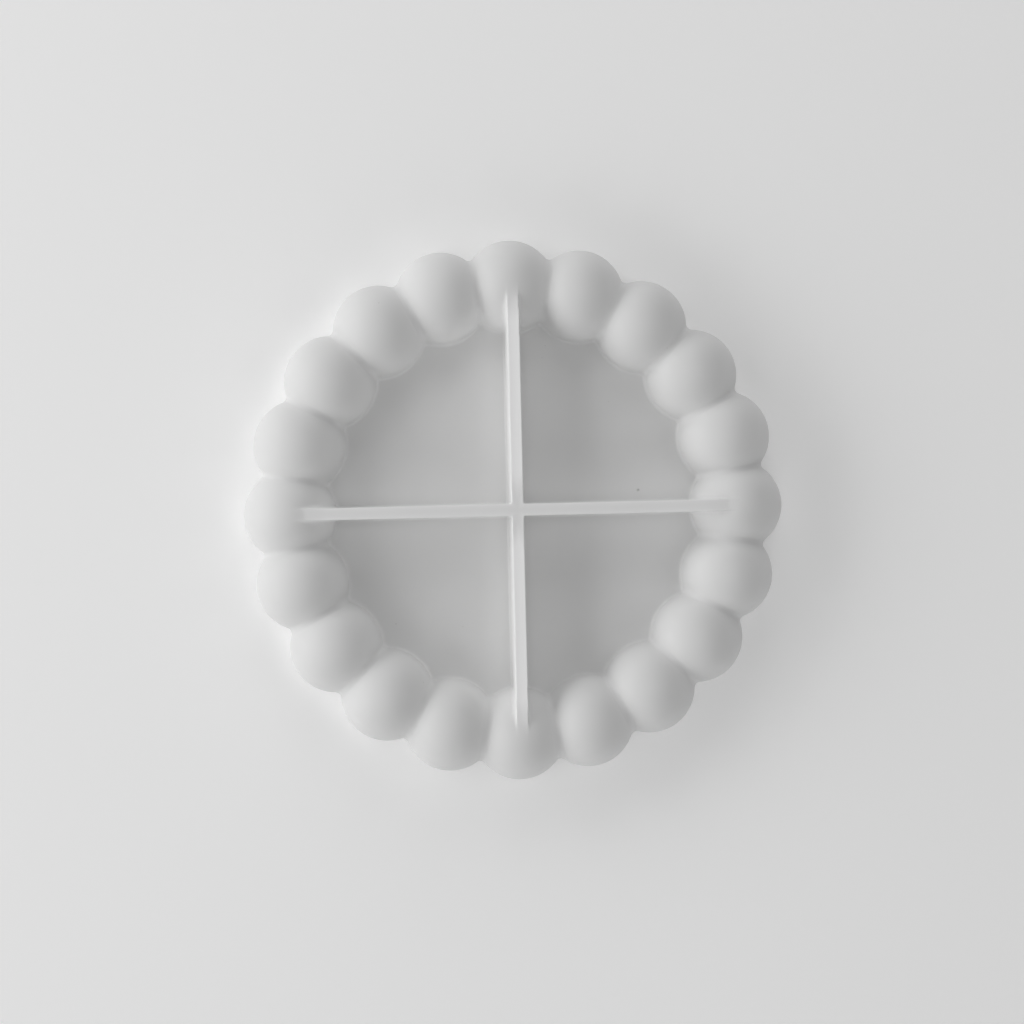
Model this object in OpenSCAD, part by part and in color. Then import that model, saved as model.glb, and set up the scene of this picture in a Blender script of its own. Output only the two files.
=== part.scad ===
// Silicone casting mould for a round tray with a bubble rim and four compartments.
// The mould stands on its pour rim, with its closed side up: the bubbles and the
// dividers rise, and the hollow that casts the tray opens downwards.
// Millimetres, +Z up, origin on the table at the centre of the pour rim.

/* [Overall] */
// Outer diameter, measured over the bubbles
mould_d = 180; // [176:1:200]
// Number of bubbles round the mould, a multiple of four
bubble_count = 20; // [20:4:24]
// Outer radius of one bubble
bubble_r = 15.3; // [14.8:0.1:15.8]
// Height of the bubble centres above the pour rim
bubble_z = 8; // [7.5:0.1:8.5]

/* [Silicone] */
// Thickness of the skin over the bubbles, the floor and the divider tops
skin = 2; // [1.6:0.1:2.4]
// Thickness of the skin on each side of a divider
side_skin = 1; // [0.8:0.1:1.4]

/* [Floor and dividers] */
// Depth of the floor's upper face below the bubble centres
floor_drop = 0.8; // [0.5:0.1:1.2]
// Width of the slot that casts one divider wall of the tray
slot_w = 2.1; // [1.6:0.1:2.6]
// Depth of a divider's top below the tops of the bubbles
divider_drop = 0.4; // [0.2:0.1:1]

/* [Pour rim] */
// Height of the band round the opening
rim_h = 3; // [2:0.2:3.4]
// Distance by which the band stands back from the outline of the bubbles
rim_inset = 0.3; // [0.2:0.1:0.8]
// Distance by which the tray's round foot passes the bubble centres
foot_margin = 2.3; // [1.5:0.1:3]

/* [Hidden] */
$fn = 96;
pitch = 360 / bubble_count;
ring_r = mould_d / 2 - bubble_r;
top_z = bubble_z + bubble_r;
cavity_r = bubble_r - skin;
foot_r = ring_r + foot_margin;

floor_z = bubble_z - floor_drop;
plateau_z = floor_z - skin;
divider_w = slot_w + 2 * side_skin;
divider_z = top_z - divider_drop;
slot_z = divider_z - skin;

// Flat silicone kept with a divider or a cup, from its wall to the next part
divider_margin = 1.5;
cup_margin = 1.9;
strip = divider_w / 2 + divider_margin;
split_r = ring_r - bubble_r - cup_margin;

// Distance by which a cutting shape passes the face that it cuts
over = 1;

function cup_name(k) = str("bubble_cup_", k < 9 ? "0" : "", k + 1);
function is_junction(k) = k % (bubble_count / 4) == 0;

DIVIDERS = ["divider_east", "divider_north", "divider_west", "divider_south"];
PANELS = ["floor_panel_ne", "floor_panel_nw", "floor_panel_sw", "floor_panel_se"];

// One copy of the children for every bubble
module at_each_bubble() {
    for (k = [0 : bubble_count - 1])
        rotate(k * pitch) translate([ring_r, 0, 0]) children();
}

// A block from z = low to z = high over the rectangle between two corners
module block(from, to, low, high) {
    translate([from.x, from.y, low])
        cube([to.x - from.x, to.y - from.y, high - low]);
}

// The sector of one cup, from the edge of the floor panels outwards
module cup_cell() {
    slope = tan(pitch / 2);
    reach = mould_d;
    translate([0, 0, rim_h]) linear_extrude(top_z)
        polygon([
            [split_r, -split_r * slope], [reach, -reach * slope],
            [reach, reach * slope], [split_r, split_r * slope]
        ]);
}

// Everything under the outer skin of one sector: bubble, floor edge and divider end
module cup_outside(junction) {
    translate([ring_r, 0, bubble_z]) sphere(bubble_r);
    block([split_r - over, -ring_r], [ring_r, ring_r], plateau_z, floor_z);
    if (junction)
        block([split_r - over, -divider_w / 2], [ring_r, divider_w / 2], plateau_z, divider_z);
}

// The hollow of one sector: bubble pocket, foot of the tray and divider slot
module cup_hollow(junction) {
    translate([ring_r, 0, bubble_z]) sphere(cavity_r);
    translate([0, 0, -over]) cylinder(r = foot_r, h = plateau_z + over);
    if (junction)
        block([0, -slot_w / 2], [ring_r, slot_w / 2], 0, slot_z);
}

// One bubble of the mould with its share of the skin, open below and to both sides
module bubble_cup(k) {
    color("gainsboro") rotate(k * pitch) intersection() {
        cup_cell();
        difference() {
            cup_outside(is_junction(k));
            cup_hollow(is_junction(k));
        }
    }
}

// One quarter of the flat floor, between two dividers and the cups
module floor_panel(quarter) {
    corner_r = split_r / cos(pitch / 2);
    color("silver") rotate(quarter * 90) translate([0, 0, plateau_z])
        linear_extrude(skin) intersection() {
            polygon([for (k = [0 : bubble_count - 1])
                corner_r * [cos((k + 0.5) * pitch), sin((k + 0.5) * pitch)]]);
            translate([strip, strip]) square(mould_d);
        }
}

// Section of a divider: a hollow rib that stands on a narrow strip of floor
module divider_section() {
    difference() {
        union() {
            translate([-strip, plateau_z]) square([2 * strip, skin]);
            translate([-divider_w / 2, plateau_z]) square([divider_w, divider_z - plateau_z]);
        }
        translate([-slot_w / 2, 0]) square([slot_w, slot_z]);
    }
}

// One of the four dividers, from the hub to the cup that it runs into
module divider(quarter) {
    color("whitesmoke") rotate(quarter * 90) translate([strip, 0, 0])
        rotate([90, 0, 90]) linear_extrude(split_r - strip) divider_section();
}

// The crossing of the dividers, with the four slots meeting inside it
module divider_hub() {
    color("whitesmoke") difference() {
        union() {
            block([-strip, -strip], [strip, strip], plateau_z, floor_z);
            block([-strip, -divider_w / 2], [strip, divider_w / 2], plateau_z, divider_z);
            block([-divider_w / 2, -strip], [divider_w / 2, strip], plateau_z, divider_z);
        }
        block([-strip - over, -slot_w / 2], [strip + over, slot_w / 2], 0, slot_z);
        block([-slot_w / 2, -strip - over], [slot_w / 2, strip + over], 0, slot_z);
    }
}

// The scalloped band round the opening, which the mould stands on
module pour_rim() {
    color("gainsboro") difference() {
        linear_extrude(rim_h) union() {
            circle(ring_r);
            at_each_bubble() circle(bubble_r - rim_inset);
        }
        translate([0, 0, -over]) cylinder(r = foot_r, h = rim_h + 2 * over);
        at_each_bubble() translate([0, 0, bubble_z]) sphere(cavity_r);
    }
}

for (k = [0 : bubble_count - 1])
    bubble_cup(k);
for (quarter = [0 : 3]) {
    floor_panel(quarter);
    divider(quarter);
}
divider_hub();
pour_rim();
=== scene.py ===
"""Looks of a silicone mould that casts a round divided tray with a bubble rim.

The moulding is described once, by formulas that give the distance from any point to
its surface. Each piece is that surface inside the piece's own share of the mould.
All lengths are metres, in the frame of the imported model.
"""
import math

import bmesh
import bpy
import numpy as np
from mathutils import Matrix, Vector


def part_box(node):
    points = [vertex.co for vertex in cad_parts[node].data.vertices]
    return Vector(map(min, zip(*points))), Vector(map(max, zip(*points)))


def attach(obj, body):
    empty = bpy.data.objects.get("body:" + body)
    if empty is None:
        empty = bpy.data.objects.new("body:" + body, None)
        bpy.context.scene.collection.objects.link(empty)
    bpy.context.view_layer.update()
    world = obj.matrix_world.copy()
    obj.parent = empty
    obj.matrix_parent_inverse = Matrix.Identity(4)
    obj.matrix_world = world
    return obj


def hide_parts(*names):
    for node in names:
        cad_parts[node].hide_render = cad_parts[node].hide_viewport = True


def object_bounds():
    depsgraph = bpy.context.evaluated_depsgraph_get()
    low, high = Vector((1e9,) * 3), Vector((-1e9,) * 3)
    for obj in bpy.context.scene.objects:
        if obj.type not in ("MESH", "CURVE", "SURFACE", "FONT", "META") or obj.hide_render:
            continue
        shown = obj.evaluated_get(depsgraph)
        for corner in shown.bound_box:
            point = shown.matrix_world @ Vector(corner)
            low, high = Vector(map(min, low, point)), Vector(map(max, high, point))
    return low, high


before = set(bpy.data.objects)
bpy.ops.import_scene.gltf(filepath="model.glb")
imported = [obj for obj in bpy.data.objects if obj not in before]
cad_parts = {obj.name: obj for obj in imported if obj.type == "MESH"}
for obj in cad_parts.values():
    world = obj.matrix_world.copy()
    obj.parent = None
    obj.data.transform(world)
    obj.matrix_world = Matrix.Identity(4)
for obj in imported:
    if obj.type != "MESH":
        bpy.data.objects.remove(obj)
cad_low, cad_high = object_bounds()

# ---------------------------------------------------------------- dimensions
MM = 0.001
cup_names = sorted(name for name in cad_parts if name.startswith("bubble_cup_"))
cup_low, cup_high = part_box(cup_names[0])
panel_low, panel_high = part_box("floor_panel_ne")
arm_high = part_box("divider_east")[1]
rim_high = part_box("pour_rim")[1]

bubble_r = 15.3 * MM
side_skin = 1 * MM
foot_margin = 2.3 * MM
divider_margin = 1.5 * MM

pitch = 2 * math.pi / len(cup_names)
ring_r = cup_high.x - bubble_r
bubble_z = cup_high.z - bubble_r
floor_z = panel_high.z
plateau_z = panel_low.z
skin = floor_z - plateau_z
cavity_r = bubble_r - skin
foot_r = ring_r + foot_margin
split_r = cup_low.x
strip = arm_high.y
divider_w = 2 * (strip - divider_margin)
slot_w = divider_w - 2 * side_skin
divider_z = arm_high.z
slot_z = divider_z - skin
rim_z = rim_high.z
rim_r = rim_high.x - ring_r

# Radii of the rounded valleys and edges that a soft moulding has
crease = 2.0 * MM
floor_valley = 1.2 * MM
rib_valley = 0.8 * MM
rib_edge = 0.35 * MM
hub_valley = 0.6 * MM
band_edge = 0.4 * MM
ridge = 0.8 * MM
lip = 0.35 * MM
base_edge = 0.6 * MM
slot_edge = 0.3 * MM

# How far the dividers' tops sag between their side faces, and how steeply two of them lean
rib_sag = 0.1 * MM
rib_lean = 0.14

# The valley along a divider's foot widens with height, and narrows near the mould's top
valley_growth = 0.1
valley_headroom = 0.8
valley_least = 0.4 * MM

# Slow waves in the soft skin: their depth and number, the shortest, and how each next one
# grows in length, turns in plan and starts later, all of them tilted alike
unevenness = 0.05 * MM
waves = 6
shortest_wave = 9 * MM
wave_growth = 4 * MM
wave_turn = 2.4
wave_shift = 1.7
wave_tilt = 0.6

# Where the dividers' lean and the painted glow on their tops fade away on the bubbles, as radii from
# the centre
fade_start = 62 * MM
fade_end = 75 * MM

# The small pit in the floor near the +X divider
pit_x = 41.8 * MM
pit_y = 5.7 * MM

# Distances over which the glossy hollow and the painted glow on the dividers' tops give way to the
# satin skin
gloss_blend = 0.6 * MM
crest_painted_light_blend = 0.8 * MM

# Grid steps: round the ring, then for the dividers and the floor along, across and up
fine = 0.45 * MM
divider_along = 1.2 * MM
divider_across = 0.3 * MM
divider_up = 0.4 * MM
panel_along = 1.0 * MM
panel_up = 0.5 * MM

# How far inside the opening the pour rim's grid starts
rim_margin = 4 * MM

# How often the points of a surface are moved onto it, and the least slope used for that
refinements = 5
least_slope = 0.05

# Distances within which two vertices become one, a cut plane takes over a vertex, and a
# vertex counts as lying in the plane
same_vertex = 0.0005 * MM
cut_reach = 0.001 * MM
in_cut_reach = 0.002 * MM


# ---------------------------------------------------------------- shape formulas
def joined(a, b, radius):
    """Two solids as one, with the valley where they meet filled to about a radius."""
    corner = np.hypot(np.maximum(radius - a, 0), np.maximum(radius - b, 0))
    return np.maximum(radius, np.minimum(a, b)) - corner


def less(a, b, radius):
    """Solid a with b cut away, and the edge that the cut leaves rounded."""
    return -joined(-a, b, radius)


def behind_both(a, b, edge):
    """The solid behind two faces at right angles, with a rounded edge between them."""
    a = a + edge
    b = b + edge
    outside = np.hypot(np.maximum(a, 0), np.maximum(b, 0))
    return outside + np.minimum(np.maximum(a, b), 0) - edge


def plan(p):
    """Seen from above: distance to the nearest and the next bubble's axis, and how
    far out each point lies, measured square to the nearest bubble's direction."""
    angle = np.arctan2(p[:, 1], p[:, 0])
    turn = np.abs(angle - pitch * np.round(angle / pitch))
    radius = np.hypot(p[:, 0], p[:, 1])
    out = radius * np.cos(turn)
    near = np.hypot(out - ring_r, radius * np.sin(turn))
    following = np.hypot(radius * np.cos(pitch - turn) - ring_r, radius * np.sin(pitch - turn))
    return near, following, out


def cross(p, width, top, valley, edge):
    """Two crossed walls that reach from bubble to bubble."""
    x = np.abs(p[:, 0])
    y = np.abs(p[:, 1])
    wall = joined(x - width / 2, y - width / 2, valley)
    wall = np.maximum(wall, np.maximum(x, y) - ring_r)
    return behind_both(wall, p[:, 2] - top, edge)


def off_middle(p):
    """How far each point lies off the middle line of its divider: 1 at the side faces."""
    return np.clip(np.minimum(np.abs(p[:, 0]), np.abs(p[:, 1])) / (divider_w / 2), 0, 1)


def along_y(p):
    """1 on the two dividers along Y, and 0 on the other two and at the hub."""
    return np.clip((np.abs(p[:, 1]) - np.abs(p[:, 0]) - strip) / (2 * strip), 0, 1)


def before_end(p):
    """1 along most of each divider, fading to 0 where it runs out on a bubble."""
    radius = np.hypot(p[:, 0], p[:, 1])
    return np.clip((fade_end - radius) / (fade_end - fade_start), 0, 1)


def dividers(p):
    """Distance to the outer faces of the dividers. Their tops sag a little between the
    side faces, and the two along Y lean: they are lower on their -X side."""
    lean = rib_lean * along_y(p) * before_end(p) * np.clip(p[:, 0], -strip, strip)
    top = divider_z - rib_sag * (1 - off_middle(p) ** 2) + lean
    return cross(p, divider_w, top, hub_valley, rib_edge)


def sink(p):
    """How far the soft skin sinks below its nominal surface, in slow uneven waves."""
    total = np.zeros(len(p))
    for i in range(waves):
        bearing = wave_turn * i
        length = shortest_wave + wave_growth * i
        along = p[:, 0] * math.cos(bearing) + p[:, 1] * math.sin(bearing) + wave_tilt * p[:, 2]
        total += np.sin(along / length + wave_shift * i * i)
    return unevenness * (1 + total / waves)


def outside(p):
    """Distance to the skin that shows with the mould closed side up."""
    near, following, out = plan(p)
    z = p[:, 2]
    height = z - bubble_z
    domes = joined(np.hypot(near, height) - bubble_r,
                   np.hypot(following, height) - bubble_r, crease)
    floor = np.maximum(z - floor_z, out - ring_r)
    body = joined(domes, floor, floor_valley)
    widening = np.minimum(rib_valley + valley_growth * (z - floor_z),
                          valley_headroom * (cup_high.z - z))
    body = joined(body, dividers(p), np.clip(widening, valley_least, 2 * rib_valley))
    band = behind_both(joined(near - rim_r, following - rim_r, crease), z - rim_z, band_edge)
    return joined(body, band, band_edge) + sink(p)


def hollow(p):
    """Distance to the hollow that casts the tray: its foot, bubbles and dividers."""
    near, following, _ = plan(p)
    radius = np.hypot(p[:, 0], p[:, 1])
    z = p[:, 2]
    height = z - bubble_z
    pockets = joined(np.hypot(near, height) - cavity_r,
                     np.hypot(following, height) - cavity_r, ridge)
    foot = behind_both(radius - foot_r, z - plateau_z, lip)
    slots = cross(p, slot_w, slot_z, slot_edge, slot_edge)
    return joined(joined(foot, pockets, lip), slots, slot_edge)


def moulding(p):
    """Distance to the silicone's surface, negative inside the silicone."""
    return behind_both(less(outside(p), hollow(p), lip), -p[:, 2], base_edge)


# ---------------------------------------------------------------- meshing
def stops(low, high, step):
    """Grid positions along one axis: low and high fall in the middle of a cell, with
    one more cell beyond each."""
    count = max(1, round((high - low) / step))
    step = (high - low) / count
    return low + step * (np.arange(count + 4) - 1.5)


def without(array, axis, first, last):
    """The array less some layers at the start and at the end of one axis."""
    return array[(slice(None),) * axis + (slice(first, array.shape[axis] - last),)]


def slope(field, points, reach=0.01 * MM):
    """Gradient of a field at some points."""
    columns = []
    for axis in range(3):
        step = np.zeros(3)
        step[axis] = reach
        columns.append((field(points + step) - field(points - step)) / (2 * reach))
    return np.stack(columns, axis=1)


def surface_net(field, axes, walls):
    """Points and outward quads of the surface field = 0, and each point's grid cell.
    walls gives, for each axis, whether the surface is cut flat at its low and at its
    high limit."""
    nodes = np.stack(np.meshgrid(*axes, indexing="ij"), axis=-1)
    value = field(nodes.reshape(-1, 3)).reshape(nodes.shape[:3])
    for axis in range(3):
        ends = [slice(None)] * 3
        ends[axis] = [0, -1]
        value[tuple(ends)] = np.maximum(np.abs(value[tuple(ends)]), MM)
    cells = np.array(value.shape) - 1
    total = np.zeros((cells.prod(), 4))
    dual = []
    for axis in range(3):
        a = without(value, axis, 0, 1)
        b = without(value, axis, 1, 0)
        found = np.nonzero((a < 0) != (b < 0))
        here = np.stack(found, axis=1)
        share = (a[found] / (a[found] - b[found]))[:, None]
        start = without(nodes, axis, 0, 1)[found]
        point = start + share * (without(nodes, axis, 1, 0)[found] - start)
        around = []
        inner = np.ones(len(here), bool)
        for du, dv in ((0, 0), (1, 0), (1, 1), (0, 1)):
            cell = here.copy()
            cell[:, (axis + 1) % 3] -= du
            cell[:, (axis + 2) % 3] -= dv
            fits = ((cell >= 0) & (cell < cells)).all(axis=1)
            inner &= fits
            index = np.ravel_multi_index(np.where(fits[:, None], cell, 0).T, cells)
            around.append(index)
            for column in range(3):
                total[:, column] += np.bincount(index[fits], point[fits, column], len(total))
            total[:, 3] += np.bincount(index[fits], minlength=len(total))
        quads = np.stack(around, axis=1)
        quads[a[found] >= 0] = quads[a[found] >= 0][:, ::-1]
        dual.append(quads[inner])
    used = np.nonzero(total[:, 3])[0]
    number = np.full(len(total), -1)
    number[used] = np.arange(len(used))
    points = total[used, :3] / total[used, 3:]
    place = np.stack(np.unravel_index(used, cells), axis=1)
    lowest = np.stack([axes[i][place[:, i]] for i in range(3)], axis=1)
    highest = np.stack([axes[i][place[:, i] + 1] for i in range(3)], axis=1)
    free = np.ones((len(points), 3))
    for axis, (at_low, at_high) in enumerate(walls):
        for wanted, layer in ((at_low, 1), (at_high, cells[axis] - 2)):
            if wanted:
                flat = place[:, axis] == layer
                points[flat, axis] = (axes[axis][layer] + axes[axis][layer + 1]) / 2
                free[flat, axis] = 0
    for _ in range(refinements):
        direction = slope(field, points) * free
        steep = np.maximum((direction ** 2).sum(axis=1), least_slope)
        points = points - direction * (field(points) / steep)[:, None]
        points = np.clip(points, lowest, highest)
    return points, number[np.concatenate(dual)], place


def closed_mesh(points, quads, cuts):
    """A bmesh of the surface, cut off flat and closed at each plane in cuts."""
    bm = bmesh.new()
    made = [bm.verts.new(point) for point in points]
    for quad in quads:
        bm.faces.new([made[i] for i in quad])
    unused = [vert for vert in made if not vert.link_faces]
    bmesh.ops.delete(bm, geom=unused, context="VERTS")
    bmesh.ops.remove_doubles(bm, verts=bm.verts[:], dist=same_vertex)
    for origin, normal in cuts:
        bmesh.ops.bisect_plane(bm, geom=bm.verts[:] + bm.edges[:] + bm.faces[:], dist=cut_reach,
                               plane_co=origin, plane_no=normal, clear_outer=True)
        on_cut = {vert for vert in bm.verts if abs((vert.co - origin).dot(normal)) < in_cut_reach}
        in_cut = [face for face in bm.faces if on_cut.issuperset(face.verts)]
        bmesh.ops.delete(bm, geom=in_cut, context="FACES")
        rims = [edge for edge in bm.edges if edge.is_boundary]
        bmesh.ops.triangle_fill(bm, use_beauty=True, edges=rims, normal=normal)
    bmesh.ops.recalc_face_normals(bm, faces=bm.faces[:])
    return bm


def piece(node, points, quads, cuts, material):
    """One piece of the moulding, which stands for the CAD node of the same name. Its
    vertices say how much they belong to the hollow and how much painted light, a paler glow
    on a divider's top, they get. On the two dividers along X that painted glow is half as
    strong along the middle."""
    bm = closed_mesh(points, quads, cuts)
    mesh = bpy.data.meshes.new(node + "_silicone")
    bm.to_mesh(mesh)
    bm.free()
    count = len(mesh.vertices)
    co = np.empty(count * 3)
    mesh.vertices.foreach_get("co", co)
    co = co.reshape(-1, 3)
    normals = slope(moulding, co)
    normals /= np.maximum(np.linalg.norm(normals, axis=1, keepdims=True), 1e-6)
    corners = np.empty(len(mesh.loops), np.int32)
    mesh.loops.foreach_get("vertex_index", corners)
    totals = np.empty(len(mesh.polygons), np.int32)
    mesh.polygons.foreach_get("loop_total", totals)
    face_normals = np.empty(len(mesh.polygons) * 3)
    mesh.polygons.foreach_get("normal", face_normals)
    face_normals = face_normals.reshape(-1, 3)
    face_of = np.repeat(np.arange(len(totals)), totals)
    flat = np.zeros(len(mesh.polygons), bool)
    for origin, normal in cuts:
        off = np.abs((co - np.array(origin)) @ np.array(normal)) > in_cut_reach
        away = np.bincount(face_of, off[corners], len(totals)) > 0
        flat |= ~away
    mesh.polygons.foreach_set("use_smooth", ~flat)
    split = np.where(flat[face_of][:, None], face_normals[face_of], normals[corners])
    mesh.normals_split_custom_set([tuple(n) for n in split])
    depth = np.abs(outside(co)) - np.abs(hollow(co))
    inner = np.clip(0.5 + depth / gloss_blend, 0, 1)
    # The share of painted light on the dividers' tops: a paler glow that stands in for side light
    # shining through them
    crest_painted_light = np.clip(1 - dividers(co) / crest_painted_light_blend, 0, 1) * (1 - inner)
    crest_painted_light *= 0.5 + 0.5 * np.maximum(off_middle(co) ** 2, along_y(co))
    crest_painted_light *= np.clip((co[:, 2] - floor_z) / (divider_z - floor_z), 0, 1)
    crest_painted_light *= before_end(co)
    for label, share in (("hollow", inner), ("crest_painted_light", crest_painted_light)):
        values = mesh.attributes.new(label, "FLOAT", "POINT")
        values.data.foreach_set("value", share.astype(np.float32))
    mesh.materials.append(material)
    obj = bpy.data.objects.new(node + "_silicone", mesh)
    bpy.context.scene.collection.objects.link(obj)
    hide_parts(node)
    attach(obj, "root")


# ---------------------------------------------------------------- pieces
def sector_points(turn, axes, walls):
    """The moulding's surface in one bubble's sector, on a grid that runs out from the
    centre, across at the ring's radius, and up, turned to the bubble."""
    spin = np.array(Matrix.Rotation(turn, 3, "Z"))

    def place(u):
        local = np.stack([u[:, 0], u[:, 0] * u[:, 1] / ring_r, u[:, 2]], axis=1)
        return local @ spin.T

    points, quads, _ = surface_net(lambda u: moulding(place(u)), axes, walls)
    return place(points), quads


def toward(angle):
    """Unit vector in plan."""
    return Vector((math.cos(angle), math.sin(angle), 0))


def bubble_cup(k, material):
    """One bubble with its share of the skin, between two straight cuts."""
    turn = k * pitch
    half_across = ring_r * math.tan(pitch / 2)
    axes = (stops(split_r, cad_high.x, fine), stops(-half_across, half_across, fine),
            stops(rim_z, cup_high.z, fine))
    points, quads = sector_points(turn, axes, ((True, False), (True, True), (True, False)))
    left = toward(turn + pitch / 2 + math.pi / 2)
    right = toward(turn - pitch / 2 - math.pi / 2)
    cuts = ((Vector(), left), (Vector(), right), (split_r * toward(turn), -toward(turn)),
            (Vector((0, 0, rim_z)), Vector((0, 0, -1))))
    piece(cup_names[k], points, quads, cuts, material)


def ring(u):
    """Where a point of the ring grid lies: out from the centre, along the ring of
    bubble centres, and up."""
    angle = u[:, 1] / ring_r
    return np.stack([u[:, 0] * np.cos(angle), u[:, 0] * np.sin(angle), u[:, 2]], axis=1)


def pour_rim(material):
    """The whole scalloped band, on a grid that runs once round and meets itself."""
    around = len(cup_names) * round(pitch * ring_r / fine)
    along = 2 * math.pi * ring_r / around * (np.arange(around + 4) - 1.5)
    axes = (stops(foot_r - rim_margin, cad_high.x, fine), along, stops(0, rim_z, fine))
    walls = ((False, False), (False, False), (False, True))
    points, quads, cells = surface_net(lambda u: moulding(ring(u)), axes, walls)
    layer = cells[quads, 1]
    once = (layer >= 1) & (layer <= around + 1)
    top = (Vector((0, 0, rim_z)), Vector((0, 0, 1)))
    piece("pour_rim", ring(points), quads[once.all(axis=1)], (top,), material)


def upright(node, axes, walls, cuts, material):
    """A piece of the floor or the dividers, on a straight grid."""
    points, quads, _ = surface_net(moulding, axes, walls)
    piece(node, points, quads, cuts, material)


def moulded_pieces(material):
    """Every piece of the moulding."""
    for k in range(len(cup_names)):
        bubble_cup(k, material)
    pour_rim(material)

    along = stops(strip, split_r, divider_along)
    back = -along[::-1]
    across = stops(-strip, strip, divider_across)
    tall = stops(plateau_z, divider_z, divider_up)
    both = (True, True)
    neither = (False, False)
    for node, axes, walls, quarter in (
            ("divider_east", (along, across, tall), (both, both, neither), 0),
            ("divider_north", (across, along, tall), (both, both, neither), 1),
            ("divider_west", (back, across, tall), (both, both, neither), 2),
            ("divider_south", (across, back, tall), (both, both, neither), 3)):
        out = toward(quarter * math.pi / 2)
        side = toward((quarter + 1) * math.pi / 2)
        cuts = ((split_r * out, out), (strip * out, -out),
                (strip * side, side), (-strip * side, -side))
        upright(node, axes, walls, cuts, material)

    cuts = [(strip * toward(i * math.pi / 2), toward(i * math.pi / 2)) for i in range(4)]
    upright("divider_hub", (across, across, tall), (both, both, neither), cuts, material)

    wide = stops(strip, panel_high.x, panel_along)
    thin = stops(plateau_z, floor_z, panel_up)
    panels = ("floor_panel_ne", "floor_panel_nw", "floor_panel_sw", "floor_panel_se")
    for quarter, node in enumerate(panels):
        x = wide if quarter in (0, 3) else -wide[::-1]
        y = wide if quarter in (0, 1) else -wide[::-1]
        a = toward(quarter * math.pi / 2)
        b = toward((quarter + 1) * math.pi / 2)
        cuts = [(strip * a, -a), (strip * b, -b)]
        for k in range(len(cup_names) // 4 + 1):
            out = toward(quarter * math.pi / 2 + k * pitch)
            cuts.append((split_r * out, out))
        upright(node, (x, y, thin), (both, both, neither), cuts, material)


# ---------------------------------------------------------------- material
def added(tree, kind, inputs, **settings):
    """A new node of a tree, with its settings, and its inputs linked or given a value."""
    node = tree.nodes.new("ShaderNode" + kind)
    for name, value in settings.items():
        setattr(node, name, value)
    for key, value in inputs.items():
        if isinstance(value, bpy.types.NodeSocket):
            tree.links.new(value, node.inputs[key])
        else:
            node.inputs[key].default_value = value
    return node


def ranged(tree, value, low, high, to_low=0.0, to_high=1.0):
    """A value's range low to high carried over to another range, and held at its ends."""
    inputs = {"Value": value, "From Min": low, "From Max": high, "To Min": to_low, "To Max": to_high}
    return added(tree, "MapRange", inputs).outputs["Result"]


def tinted(tree, share, base, over):
    """The base colour with a share of another colour over it."""
    inputs = {"Factor": share, "A": base, "B": over}
    return added(tree, "Mix", inputs, data_type="RGBA").outputs["Result"]


def silicone():
    """Milky white silicone: satin outside and glossier inside, where the casting is
    taken off a polished master, with faint clouds, a fine grain and a little dust."""
    material = bpy.data.materials.new("silicone")
    material.use_nodes = True
    tree = material.node_tree
    shader = tree.nodes["Principled BSDF"]
    shader.inputs["IOR"].default_value = 1.41
    where = added(tree, "TexCoord", {}).outputs["Object"]

    def noise(size, detail):
        inputs = {"Vector": where, "Scale": 1 / size, "Detail": detail}
        return added(tree, "TexNoise", inputs).outputs["Fac"]

    def share_of(label):
        return added(tree, "Attribute", {}, attribute_name=label).outputs["Fac"]

    clouds = ranged(tree, noise(30 * MM, 3), 0.3, 0.7)
    colour = tinted(tree, clouds, (0.785, 0.785, 0.782, 1), (0.815, 0.815, 0.813, 1))
    # Painted light: the dividers' tops are painted paler, a glow that stands in for side light
    # shining through them
    colour = tinted(tree, share_of("crest_painted_light"), colour, (0.965, 0.965, 0.964, 1))
    inputs = {"Vector": where, "Scale": 1 / (11 * MM)}
    dust = added(tree, "TexVoronoi", inputs).outputs["Distance"]
    dust = ranged(tree, dust, 0.026, 0.010, 0, 0.4)
    colour = tinted(tree, dust, colour, (0.45, 0.44, 0.42, 1))
    # Painted shade: the pit's centre is painted darker, standing in for the shade inside the small
    # recess
    inputs = {0: where, 1: Vector((pit_x, pit_y, floor_z))}
    pit = added(tree, "VectorMath", inputs, operation="DISTANCE").outputs["Value"]
    pit = ranged(tree, pit, 0.6 * MM, 0.2 * MM)
    colour = tinted(tree, pit, colour, (0.60, 0.60, 0.59, 1))
    tree.links.new(colour, shader.inputs["Base Color"])

    satin = ranged(tree, noise(4 * MM, 4), 0.3, 0.7, 0.50, 0.64)
    polished = ranged(tree, noise(12 * MM, 2), 0.3, 0.7, 0.20, 0.30)
    inputs = {"Factor": share_of("hollow"), "A": satin, "B": polished}
    roughness = added(tree, "Mix", inputs).outputs["Result"]
    tree.links.new(roughness, shader.inputs["Roughness"])

    inputs = {"Height": noise(3 * MM, 2), "Distance": 0.012 * MM}
    ripple = added(tree, "Bump", inputs).outputs["Normal"]
    inputs = {"Height": noise(0.4 * MM, 2), "Distance": 0.004 * MM, "Normal": ripple}
    grain = added(tree, "Bump", inputs).outputs["Normal"]
    inputs = {"Height": pit, "Distance": -0.2 * MM, "Normal": grain}
    pitted = added(tree, "Bump", inputs).outputs["Normal"]
    tree.links.new(pitted, shader.inputs["Normal"])
    return material


moulded_pieces(silicone())

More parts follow.
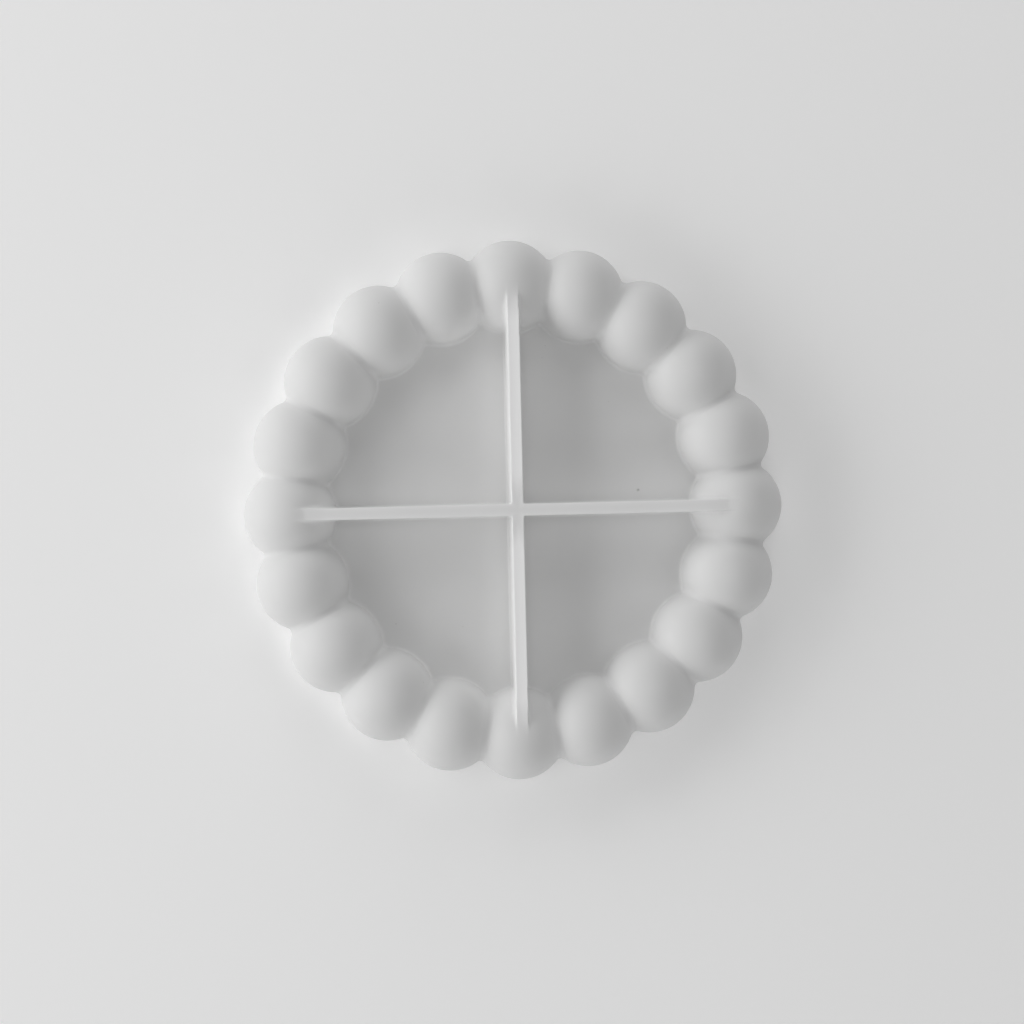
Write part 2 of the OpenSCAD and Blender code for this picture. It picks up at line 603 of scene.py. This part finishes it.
# ---------------------------------------------------------------- stage, light and camera
floor_mesh = bpy.data.meshes.new("stage_floor")
reach = 6.0
below = -0.05 * MM
floor_corners = [(-reach, -reach, below), (reach, -reach, below),
                 (reach, reach, below), (-reach, reach, below)]
floor_mesh.from_pydata(floor_corners, [], [(0, 1, 2, 3)])
floor = bpy.data.objects.new("stage_floor", floor_mesh)
bpy.context.scene.collection.objects.link(floor)
paper = bpy.data.materials.new("stage_paper")
paper.use_nodes = True
paper_shader = paper.node_tree.nodes["Principled BSDF"]
paper_shader.inputs["Base Color"].default_value = (0.95, 0.95, 0.95, 1)
paper_shader.inputs["Roughness"].default_value = 0.9
paper_shader.inputs["Emission Color"].default_value = (1, 1, 1, 1)
paper_shader.inputs["Emission Strength"].default_value = 0.10
floor_mesh.materials.append(paper)

scene = bpy.context.scene
scene.view_settings.view_transform = "Standard"
world = bpy.data.worlds.new("studio")
world.use_nodes = True
world.node_tree.nodes["Background"].inputs["Color"].default_value = (1, 1, 1, 1)
world.node_tree.nodes["Background"].inputs["Strength"].default_value = 0.20
scene.world = world

light_distance = 1.4
light_size = 0.7


def soft_light(name, bearing, elevation, power):
    """A square soft light aimed at the mould, its place given by two angles in degrees."""
    data = bpy.data.lights.new(name, "AREA")
    data.shape = "SQUARE"
    data.size = light_size
    data.energy = power
    light = bpy.data.objects.new(name, data)
    scene.collection.objects.link(light)
    level = toward(math.radians(bearing)) * math.cos(math.radians(elevation))
    level.z = math.sin(math.radians(elevation))
    light.location = light_distance * level
    light.rotation_euler = (-light.location).to_track_quat("-Z", "Y").to_euler()


# A wide window along the -X side, and weaker light from the other sides and from above
for light_name, bearing, elevation, power in (
        ("window_left", 150, 20, 4.4),
        ("window_middle", 180, 20, 4.1),
        ("window_right", 210, 20, 3.2),
        ("wall_north", 90, 25, 3.4),
        ("wall_south", 270, 25, 2.8),
        ("wall_east", 0, 40, 1.5),
        ("ceiling", 0, 90, 1.2)):
    soft_light(light_name, bearing, elevation, power)

camera_data = bpy.data.cameras.new("camera")
camera = bpy.data.objects.new("camera", camera_data)
scene.collection.objects.link(camera)
scene.camera = camera
# The camera looks down from slightly on the -X side, and the mould's width takes up
# mould_share of the picture's
camera_distance = 0.80
lean = math.radians(4.2)
roll = math.radians(-1.35)
mould_share = 0.526
camera_data.sensor_width = 36
mould_d = cad_high.x - cad_low.x
camera_data.lens = camera_data.sensor_width * mould_share * camera_distance / mould_d
target = Vector((-0.84 * MM, -0.67 * MM, bubble_z))
camera.location = target + camera_distance * Vector((-math.sin(lean), 0, math.cos(lean)))
right = Vector((math.cos(lean) * math.cos(roll), math.sin(roll), math.sin(lean) * math.cos(roll)))
backward = (camera.location - target).normalized()
upward = backward.cross(right).normalized()
right = upward.cross(backward)
camera.rotation_euler = Matrix((right, upward, backward)).transposed().to_euler()
